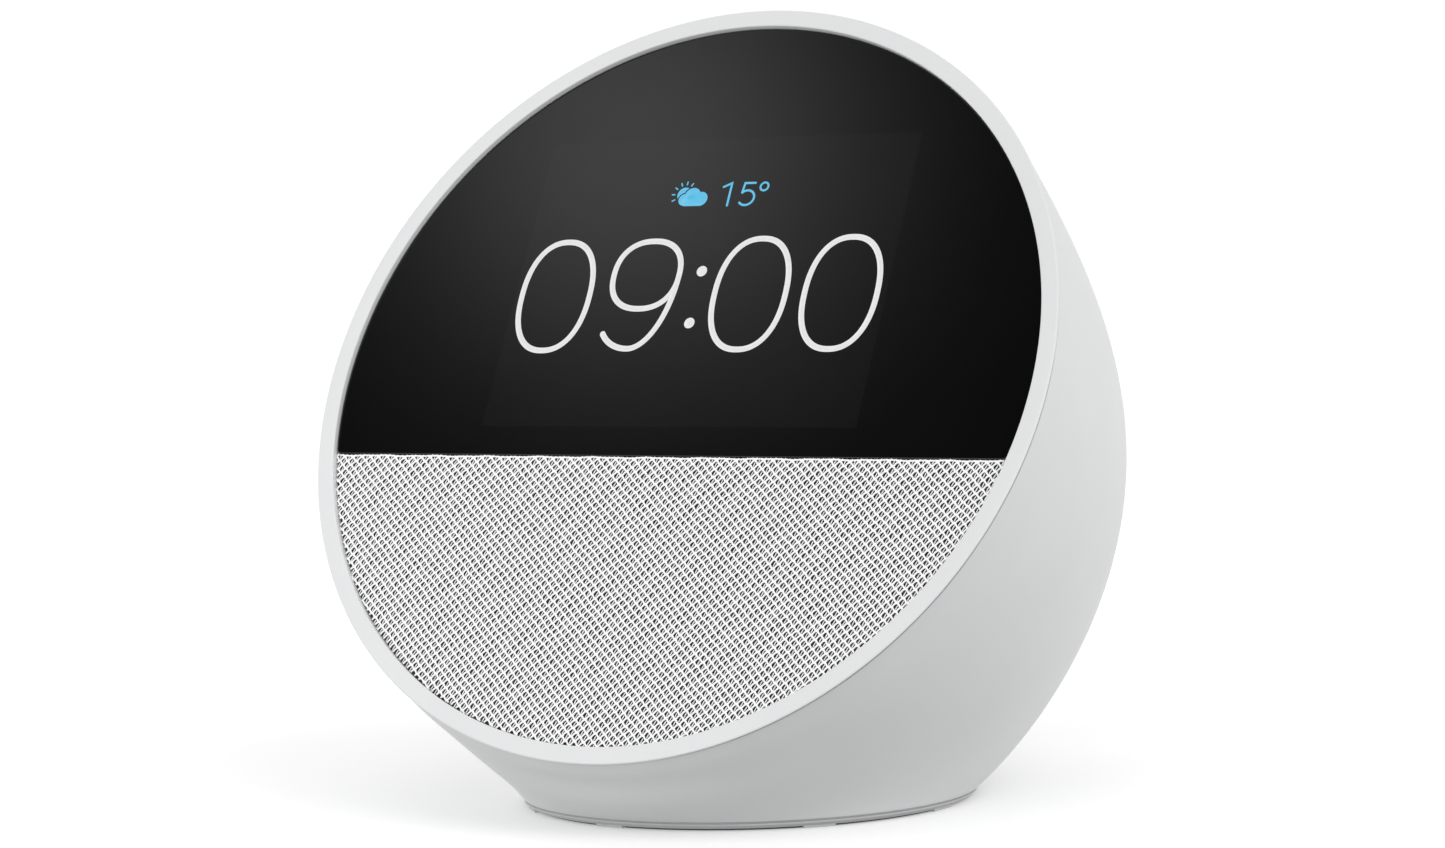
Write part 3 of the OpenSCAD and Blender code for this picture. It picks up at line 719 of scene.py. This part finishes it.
def make_clock():
    width, middle, half_width, half_height = 0.86, 12.4, 5.56, 8.4
    zero_x, nine_x, nine_top_v = (-22.73, 8.43, 22.48), -9.0, 15.5
    dot_r, dot_v = 0.8, (15.95, 8.05)
    marks = [stroke(superellipse((x, middle), half_width, half_height), width, on_glass, FACE,
                    closed=True) for x in zero_x]
    bowl = superellipse((nine_x + 0.27, nine_top_v), 5.25, 5.2)
    marks.append(stroke(bowl, width, on_glass, FACE, closed=True))
    tail = np.vstack([oval_arc((nine_x, nine_top_v), 5.5, 11.3, 0, -88, 48),
                      oval_arc((nine_x, 8.9), 5.2, 4.7, -92, -149, 24)])
    marks.append(stroke(tail, width, on_glass, FACE))
    for v in dot_v:
        marks.append(blot((0, v), lambda x, y, v=v: np.hypot(x, y - v) < dot_r, 1.0, on_glass, FACE,
                          steps=48))
    print_marks("clock_digits", marks, CLOCK_LIGHT, slot="display")


def make_weather():
    lobes = [(-5.64, 27.09, 0.9), (-4.45, 27.64, 1.27), (-3.05, 27.18, 1.09)]
    floor_v, floor_x = 26.09, (-5.64, -3.05)
    sun, sun_r, gap = (-5.77, 27.86), 1.14, 0.2

    def in_cloud(x, v, grown=0.0):
        inside = (v > floor_v - grown) & (x > floor_x[0]) & (x < floor_x[1]) & (v < lobes[0][1])
        for lobe_x, lobe_v, lobe_r in lobes:
            inside |= (np.hypot(x - lobe_x, v - lobe_v) < lobe_r + grown) & (v > floor_v - grown)
        return inside

    def in_sun(x, v):
        return (np.hypot(x - sun[0], v - sun[1]) < sun_r) & ~in_cloud(x, v, gap)

    marks = [blot((-4.4, 27.0), in_cloud, 4, on_glass, FACE),
             blot((-6.3, 28.3), in_sun, 3, on_glass, FACE)]
    ray_start, ray_end, ray_width = 1.58, 2.0, 0.2
    for angle in (60, 88, 116, 146, 178, 208):
        toward = np.array([math.cos(math.radians(angle)), math.sin(math.radians(angle))])
        marks.append(stroke([sun + toward * ray_start, sun + toward * ray_end], ray_width,
                            on_glass, FACE))
    return marks


def make_temperature():
    width = 0.33
    one = [(0.25, 28.95), (1.46, 29.5), (1.46, 26.05)]
    hook = oval_arc((4.25, 27.18), 1.22, 1.14, 118, -140, 24)
    five = [(5.2, 29.46), (3.58, 29.46), (3.4, 28.0)]
    ring = oval_arc((6.73, 28.86), 0.62, 0.62, 0, 345, 24)
    return [stroke(one, width, on_glass, FACE, sharp=True),
            stroke(five, width, on_glass, FACE, sharp=True),
            stroke(np.vstack([[(3.46, 27.98)], hook]), width, on_glass, FACE),
            stroke(ring, width * 0.9, on_glass, FACE, closed=True)]


CLOCK_LIGHT = lit_artwork("clock_light", (1.0, 1.0, 1.0), 0.78)
BLUE_LIGHT = lit_artwork("blue_symbol_light", (0.115, 0.58, 0.88), 0.9)
make_clock()
print_marks("weather_and_temperature", make_weather() + make_temperature(), BLUE_LIGHT,
            slot="display")


# ---- speaker cloth -----------------------------------------------------------------------------
CLOTH_CHORD = GLASS_CHORD - 0.06 * MM
CLOTH_FRONT, CLOTH_BACK = cloth_high[2], cloth_low[2]
# Width and height of one mesh of the knit, in mm; rows are half a mesh apart.
STITCH_W, STITCH_H = 1.44, 1.235


def make_ground():
    """The ground of the knit, one thin layer stretched over the grille and tucked in all round. Its near-black is
    painted shade for the shadow seen through the knit's holes.
    """
    height = CLOTH_BACK + 0.13 * MM

    def outline(inset):
        return face_outline(CLOTH_R_INSIDE, CLOTH_CHORD, CORNER_R, -1, inset)
    return plate("cloth_ground", outline, CLOTH_BACK, height, 0.1 * MM, KNIT_HOLE_SHADE,
                 open_back=True, slot="speaker_cloth", replaces=["speaker_cloth"])


def in_cloth(x, v, margin):
    """Whether points (mm) lie on the cloth, clear of its edge by a margin."""
    return ((np.hypot(x, v) < CLOTH_R_INSIDE / MM - margin)
            & (v < CLOTH_CHORD / MM - margin))


def wobble(x, v):
    """A slow unevenness of the knit, in mm."""
    return (0.045 * np.sin(0.83 * x + 1.31 * v + 0.4) + 0.035 * np.sin(1.7 * x - 0.9 * v + 2.1),
            0.045 * np.sin(0.71 * x - 1.13 * v + 1.2) + 0.035 * np.sin(1.5 * x + 1.2 * v + 0.3))


def yarn(name, x, v, height, across, deep, starts, material):
    """Closed tubes along many paths; a new path begins at each index in starts. In mm."""
    dx, dv = wobble(x, v)
    path = np.stack([x + dx, v + dv], -1)
    ends = np.append(starts[1:], len(x)) - 1
    ahead, behind = np.roll(path, -1, 0), np.roll(path, 1, 0)
    ahead[ends], behind[starts] = path[ends], path[starts]
    along_path = ahead - behind
    along_path /= np.linalg.norm(along_path, axis=1)[:, None]
    side = np.stack([along_path[:, 1], -along_path[:, 0]], -1)
    turns = np.arange(YARN_SIDES) * FULL_TURN / YARN_SIDES + math.pi / 2
    flat = path[:, None, :] + side[:, None, :] * (across[:, None] * np.cos(turns))[..., None]
    up = height[:, None] + deep[:, None] * np.sin(turns)
    points = FACE.point(flat[..., 0] * MM, flat[..., 1] * MM, up * MM).reshape(-1, 3)
    ring = np.arange(YARN_SIDES)
    last = np.isin(np.arange(len(x)), ends)
    begin = np.flatnonzero(~last)[:, None] * YARN_SIDES
    nxt = (ring + 1) % YARN_SIDES
    quads = np.stack([begin + ring, begin + nxt, begin + YARN_SIDES + nxt,
                      begin + YARN_SIDES + ring], -1).reshape(-1, 4)
    faces = quads.tolist()
    faces += [[s * YARN_SIDES + i for i in ring[::-1]] for s in starts]
    faces += [[e * YARN_SIDES + i for i in ring] for e in ends]
    return piece(name, points, faces, material, slot="speaker_cloth")


def runs(inside):
    """Start and end of each unbroken stretch of True."""
    edges = np.flatnonzero(np.diff(np.concatenate([[0], inside.astype(int), [0]])))
    return list(zip(edges[::2], edges[1::2]))


def make_diagonals(name, rise, half_width, over):
    """All the yarns that climb (rise 1) or fall (rise -1) from left to right."""
    steps, meshes, strands = 4, 80, 90
    curl, swell, deep = 0.3 / FULL_TURN, 0.15, 0.125
    columns = [[] for _ in range(5)]
    starts = []

    def strand(n, k):
        return (STITCH_W / 2 * (n + 1 + curl * np.sin(FULL_TURN * n)),
                rise * STITCH_H / 2 * (n - curl * np.sin(FULL_TURN * n)) + k * STITCH_H)

    def edge(within, beyond, k):
        """Where a strand crosses the edge of the cloth, between two of its points."""
        for _ in range(8):
            middle = (within + beyond) / 2
            if in_cloth(*strand(middle, k), 0.02):
                within = middle
            else:
                beyond = middle
        return within

    at = np.arange(-meshes * steps, meshes * steps + 1) / steps
    for k in range(-strands, strands + 1):
        for a, b in runs(in_cloth(*strand(at, k), 0.06)):
            n = np.concatenate([[edge(at[a], at[a - 1], k)], at[a:b], [edge(at[b - 1], at[b], k)]])
            x, v = strand(n, k)
            wave = np.cos(FULL_TURN * n)
            starts.append(sum(len(c) for c in columns[0]))
            for column, values in zip(columns, (x, v, YARN_HEIGHT + over * wave,
                                                half_width * (1 + swell * wave), deep + 0 * x)):
                column.append(values)
    return yarn(name, *(np.concatenate(c) for c in columns), np.array(starts), THREAD_WHITE)


def make_loops():
    """In each mesh of the knit, a short bar of yarn that leans to the right, lying lower and painted a little
    darker as shade.
    """
    draws = np.random.default_rng(11)
    path = np.array([(-0.15, -0.44), (-0.06, -0.17), (0.06, 0.17), (0.15, 0.44)])
    columns = [[] for _ in range(5)]
    half_rows, columns_each_way = 100, 90
    for j in range(-half_rows, 0):
        for i in range(-columns_each_way, columns_each_way + 1):
            x, v = (i + 0.5 * (j % 2)) * STITCH_W, j * STITCH_H / 2
            shift = draws.normal(0, 0.025, 2)
            scale = draws.uniform(0.9, 1.1)
            if not in_cloth(x, v, 0.15):
                continue
            columns[0].append(x + path[:, 0] + shift[0])
            columns[1].append(v + path[:, 1] + shift[1])
            columns[2].append(LOOP_HEIGHT + np.array([-0.03, 0.03, 0.03, -0.03]))
            columns[3].append(scale * np.array([0.07, 0.085, 0.085, 0.07]))
            columns[4].append(scale * np.array([0.07, 0.08, 0.08, 0.07]))
    starts = np.arange(len(columns[0])) * len(path)
    return yarn("knit_loops", *(np.concatenate(c) for c in columns), starts, LOOP_SHADED_YARN)


def make_hem():
    """The straight edge of the knit, close under the glass."""
    half_width, deep = 0.13, 0.125
    v = CLOTH_CHORD / MM - half_width - 0.03
    reach = math.sqrt((CLOTH_R_INSIDE / MM) ** 2 - v ** 2) - 0.5
    x = np.linspace(-reach, reach, 200)
    return yarn("knit_hem", x, v + 0 * x, YARN_HEIGHT + 0.02 * np.cos(FULL_TURN * x / STITCH_W),
                half_width + 0 * x, deep + 0 * x, np.array([0]), THREAD_WHITE)


# Sides of each tube of yarn, and the heights of its middle above the face, in mm.
YARN_SIDES = 6
YARN_HEIGHT = CLOTH_FRONT / MM - 0.21
LOOP_HEIGHT = YARN_HEIGHT - 0.10
CLOTH_R_INSIDE = OPENING_R - 0.12 * MM
# The bars are the same white yarn, painted light grey as the shade they lie in below the diagonals.
LOOP_SHADED_YARN = cloth_material("yarn_with_painted_shade", (0.78, 0.78, 0.79), (0.90, 0.90, 0.91))
ground = make_ground()
knit = [make_diagonals("knit_rising", 1, 0.14, -0.04),
        make_diagonals("knit_falling", -1, 0.15, 0.04),
        make_loops(), make_hem()]


# ---- keys at the rear --------------------------------------------------------------------------
KEY_PARTS = (("volume_down", "volume_down_button", -1), ("mic", "mic_button", 0),
             ("volume_up", "volume_up_button", 1))
KEY_DOME_R = 55 * MM
KEY_PROUD = 0.5 * MM


def on_keys(x, v):
    """Height of the key tops, which follow the curve of the shell."""
    return np.sqrt((KEY_DOME_R + KEY_PROUD) ** 2 - x ** 2 - v ** 2) - KEY_DOME_R


def make_key(name, body, side):
    """A cap with a domed top, its retaining flange and its stem."""
    x0, edge = side * KEY_PITCH, 0.35 * MM
    _, _, height = KEYS.local(node_points(name + "_key"))
    shoulder, flange, stem_r = -7.6 * MM, 1.0 * MM, 1.5 * MM
    flange_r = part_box("mic_key")[1].x
    turns = np.arange(96) * FULL_TURN / 96
    rings = []

    def ring(radius, drop=None, level=None):
        x, v = x0 + radius * np.cos(turns), radius * np.sin(turns)
        rings.append(KEYS.point(x, v, on_keys(x, v) - drop if level is None else level + 0 * x))

    for radius in np.linspace(0.1 * MM, KEY_CAP_R - edge, 8):
        ring(radius, 0)
    for angle in np.linspace(0, math.pi / 2, 6)[1:]:
        ring(KEY_CAP_R - edge * (1 - math.sin(angle)), edge * (1 - math.cos(angle)))
    for radius, level in ((KEY_CAP_R, shoulder), (flange_r, shoulder), (flange_r, shoulder - flange),
                          (stem_r, shoulder - flange), (stem_r, height.min())):
        ring(radius, level=level)
    faces = [face[::-1] for face in band_faces(len(rings), 96)]
    faces.append(list(range(96)))
    faces.append(list(range((len(rings) - 1) * 96, len(rings) * 96))[::-1])
    piece(name + "_cap", np.concatenate(rings), faces, KEY_WHITE, body=body, slot="key_plastic",
          replaces=[name + "_key"])


def key_marks(name, side):
    """A minus, a plus, or a plain microphone."""
    x0 = side * KEY_PITCH / MM
    bar = [(x0 - 1.5, 0), (x0 + 1.5, 0)]

    def mark(path, width=0.42, closed=False):
        return stroke(path, width, lambda x, v: on_keys(x, v) + 0.02 * MM, KEYS, closed=closed)

    if name == "volume_down":
        return [mark(bar)]
    if name == "volume_up":
        return [mark(bar), mark([(x0, 0.25), (x0, 1.5)]), mark([(x0, -0.25), (x0, -1.5)])]
    thin, capsule = 0.34, 1.1
    return [mark([(x0, 0.4), (x0, 1.5)], capsule), mark(oval_arc((x0, 0.4), 1.2, 1.4, 180, 360), thin),
            mark([(x0, -1.25), (x0, -1.75)], thin), mark([(x0 - 0.7, -2.0), (x0 + 0.7, -2.0)], thin)]


for key_name, key_body, key_side in KEY_PARTS:
    make_key(key_name, key_body, key_side)
    print_marks(key_name + "_symbol", key_marks(key_name, key_side), SYMBOL_GREY, body=key_body)


# ---- finishes of the CAD parts that stay -------------------------------------------------------
def finish_of(slot):
    """A material for one of the record's slots, from its own colour and class."""
    colour = slot["base_color"]
    name = slot["slot"] + "_finish"
    if slot["class"] in ("brushed_steel", "aluminium", "brass"):
        return metal(name, colour, 0.34, streak=(1, 1, 6))
    if slot["class"] == "fabric":
        return cloth_material(name, [c * 0.85 for c in colour], colour)
    if slot["class"] == "rubber":
        return plastic(name, colour, 0.75, spread=0.02, grain=0.02)
    if slot["class"] == "gloss_plastic":
        return plastic(name, colour, 0.15, spread=0.004, grain=0.001)
    return plastic(name, colour, 0.5, spread=0.02)


def finish_nodes():
    finishes = {slot["slot"]: finish_of(slot) for slot in frame["record"]["materials"]}
    finishes["foot_plastic"] = FOOT_GREY
    for subpart in frame["record"]["subparts"]:
        node = frame["nodes"][subpart["node"]]
        for slot in node.material_slots:
            slot.material = finishes[subpart["material_slot"]]


finish_nodes()


# ---- camera, light and floor -------------------------------------------------------------------
def make_camera():
    """Seen slightly from the right and from just above, with a long lens."""
    azimuth, elevation, roll = math.radians(30.21), math.radians(3.35), math.radians(-1.68)
    target, distance = Vector((0, -4.81, 52.56)) * MM, 606.9 * MM
    back = Vector((math.sin(azimuth) * math.cos(elevation), -math.cos(azimuth) * math.cos(elevation),
                   math.sin(elevation)))
    right = Vector((math.cos(azimuth), math.sin(azimuth), 0))
    up = back.cross(right)
    right, up = (right * math.cos(roll) + up * math.sin(roll),
                 up * math.cos(roll) - right * math.sin(roll))
    camera = bpy.data.objects.new("camera", bpy.data.cameras.new("camera"))
    camera.data.lens, camera.data.sensor_width = 109.5, 36
    camera.data.clip_start, camera.data.clip_end = 0.05, 20
    turned = Matrix((right, up, back)).transposed()
    camera.matrix_world = Matrix.Translation(target + back * distance) @ turned.to_4x4()
    bpy.context.scene.collection.objects.link(camera)
    bpy.context.scene.camera = camera


def make_light(name, place, aim, size, power):
    light = bpy.data.lights.new(name, "AREA")
    light.shape, light.size, light.size_y, light.energy = "RECTANGLE", size[0], size[1], power
    obj = bpy.data.objects.new(name, light)
    bpy.context.scene.collection.objects.link(obj)
    obj.location = place
    obj.rotation_mode = "QUATERNION"
    obj.rotation_quaternion = (Vector(aim) - Vector(place)).to_track_quat("-Z", "Y")
    obj.visible_glossy = False


def make_sun(name, towards, breadth, strength):
    """A wide, far softbox; breadth in degrees."""
    light = bpy.data.lights.new(name, "SUN")
    light.angle, light.energy = math.radians(breadth), strength
    obj = bpy.data.objects.new(name, light)
    bpy.context.scene.collection.objects.link(obj)
    obj.rotation_mode = "QUATERNION"
    obj.rotation_quaternion = (-Vector(towards)).to_track_quat("-Z", "Y")
    obj.visible_glossy = False


def make_world():
    """A six-sided white tent, with a dark flag where the glass would mirror it and a soft glow."""
    world = bpy.data.worlds.new("studio")
    world.use_nodes = True
    tree = world.node_tree
    direction = tree.nodes.new("ShaderNodeTexCoord").outputs["Generated"]

    def math_node(operation, first, second=0.0, third=0.0):
        node = tree.nodes.new("ShaderNodeMath")
        node.operation = operation
        for socket, value in zip(node.inputs, (first, second, third)):
            if isinstance(value, (int, float)):
                socket.default_value = value
            else:
                tree.links.new(value, socket)
        return node.outputs["Value"]

    def towards(axis):
        """The cosine of the angle between each direction and an axis."""
        node = tree.nodes.new("ShaderNodeVectorMath")
        node.operation = "DOT_PRODUCT"
        node.inputs[1].default_value = unit(axis)
        tree.links.new(direction, node.inputs[0])
        return node.outputs["Value"]

    tent = 0.0
    for axis, strength in TENT_SIDES:
        facing = math_node("MAXIMUM", towards(axis))
        tent = math_node("MULTIPLY_ADD", math_node("MULTIPLY", facing, facing), strength, tent)

    flag = tree.nodes.new("ShaderNodeMapRange")
    flag.interpolation_type = "SMOOTHERSTEP"
    for name, value in (("From Min", math.cos(FLAG_FADE[1])), ("From Max", math.cos(FLAG_FADE[0])),
                        ("To Min", 1.0), ("To Max", FLAG_DARK)):
        flag.inputs[name].default_value = value
    tree.links.new(towards(FLAG_TOWARDS), flag.inputs["Value"])
    tent = math_node("MULTIPLY", tent, flag.outputs["Result"])

    sharpness = 1 / GLOW_SPREAD ** 2
    fall = math_node("MULTIPLY_ADD", towards(GLOW_TOWARDS), sharpness, -sharpness)
    glow = math_node("MULTIPLY", math_node("EXPONENT", fall), GLOW_STRENGTH)
    background = tree.nodes["Background"]
    background.inputs["Color"].default_value = (1, 1, 1, 1)
    tree.links.new(math_node("ADD", tent, glow), background.inputs["Strength"])
    bpy.context.scene.world = world


def make_floor():
    size = 6.0
    corners = [(-size, -size, 0), (size, -size, 0), (size, size, 0), (-size, size, 0)]
    mesh = bpy.data.meshes.new("floor")
    mesh.from_pydata(corners, [], [(0, 1, 2, 3)])
    floor = bpy.data.objects.new("floor", mesh)
    bpy.context.scene.collection.objects.link(floor)
    material, tree, shader = new_material("pale_floor")
    tree.links.new(ramp(tree, noise(tree, 3), (0.93, 0.93, 0.93), (0.95, 0.95, 0.95)),
                   shader.inputs["Base Color"])
    shader.inputs["Roughness"].default_value = 0.9
    shader.inputs["Specular IOR Level"].default_value = 0.1
    shader.inputs["Emission Color"].default_value = (1, 1, 1, 1)
    shader.inputs["Emission Strength"].default_value = FLOOR_GLOW
    mesh.materials.append(material)
    # The floor takes the object's shadow but sends no light back, and hides none from it.
    floor.visible_diffuse = False
    floor.visible_shadow = False


# Brightness of each side of the tent, then of the flag, the glow and the floor's own light.
TENT_SIDES = (((1, 0, 0), 1.10), ((-1, 0, 0), 1.20), ((0, 1, 0), 0.97), ((0, -1, 0), 0.72),
              ((0, 0, 1), 0.56), ((0, 0, -1), 0.03))
FLAG_TOWARDS, FLAG_DARK = (-0.50, -0.51, 0.70), 0.04
FLAG_FADE = (math.radians(16), math.radians(34))
GLOW_TOWARDS, GLOW_SPREAD = (-0.519, -0.4536, 0.7246), math.radians(1.98)
GLOW_STRENGTH = 0.97
FLOOR_GLOW = 0.19
make_camera()
make_world()
make_floor()
make_light("near_left", (-0.30, -0.34, 0.22), (0, -0.03, 0.05), (0.25, 0.25), 0.27)
make_light("near_front", (-0.10, -0.45, 0.12), (0, -0.03, 0.05), (0.25, 0.25), 0.40)
make_sun("front_sun", (0.1, -0.6, 0.8), 40, 0.36)
make_sun("right_sun", (0.7, -0.3, 0.6), 40, 0.66)
bpy.context.scene.view_settings.view_transform = "Standard"
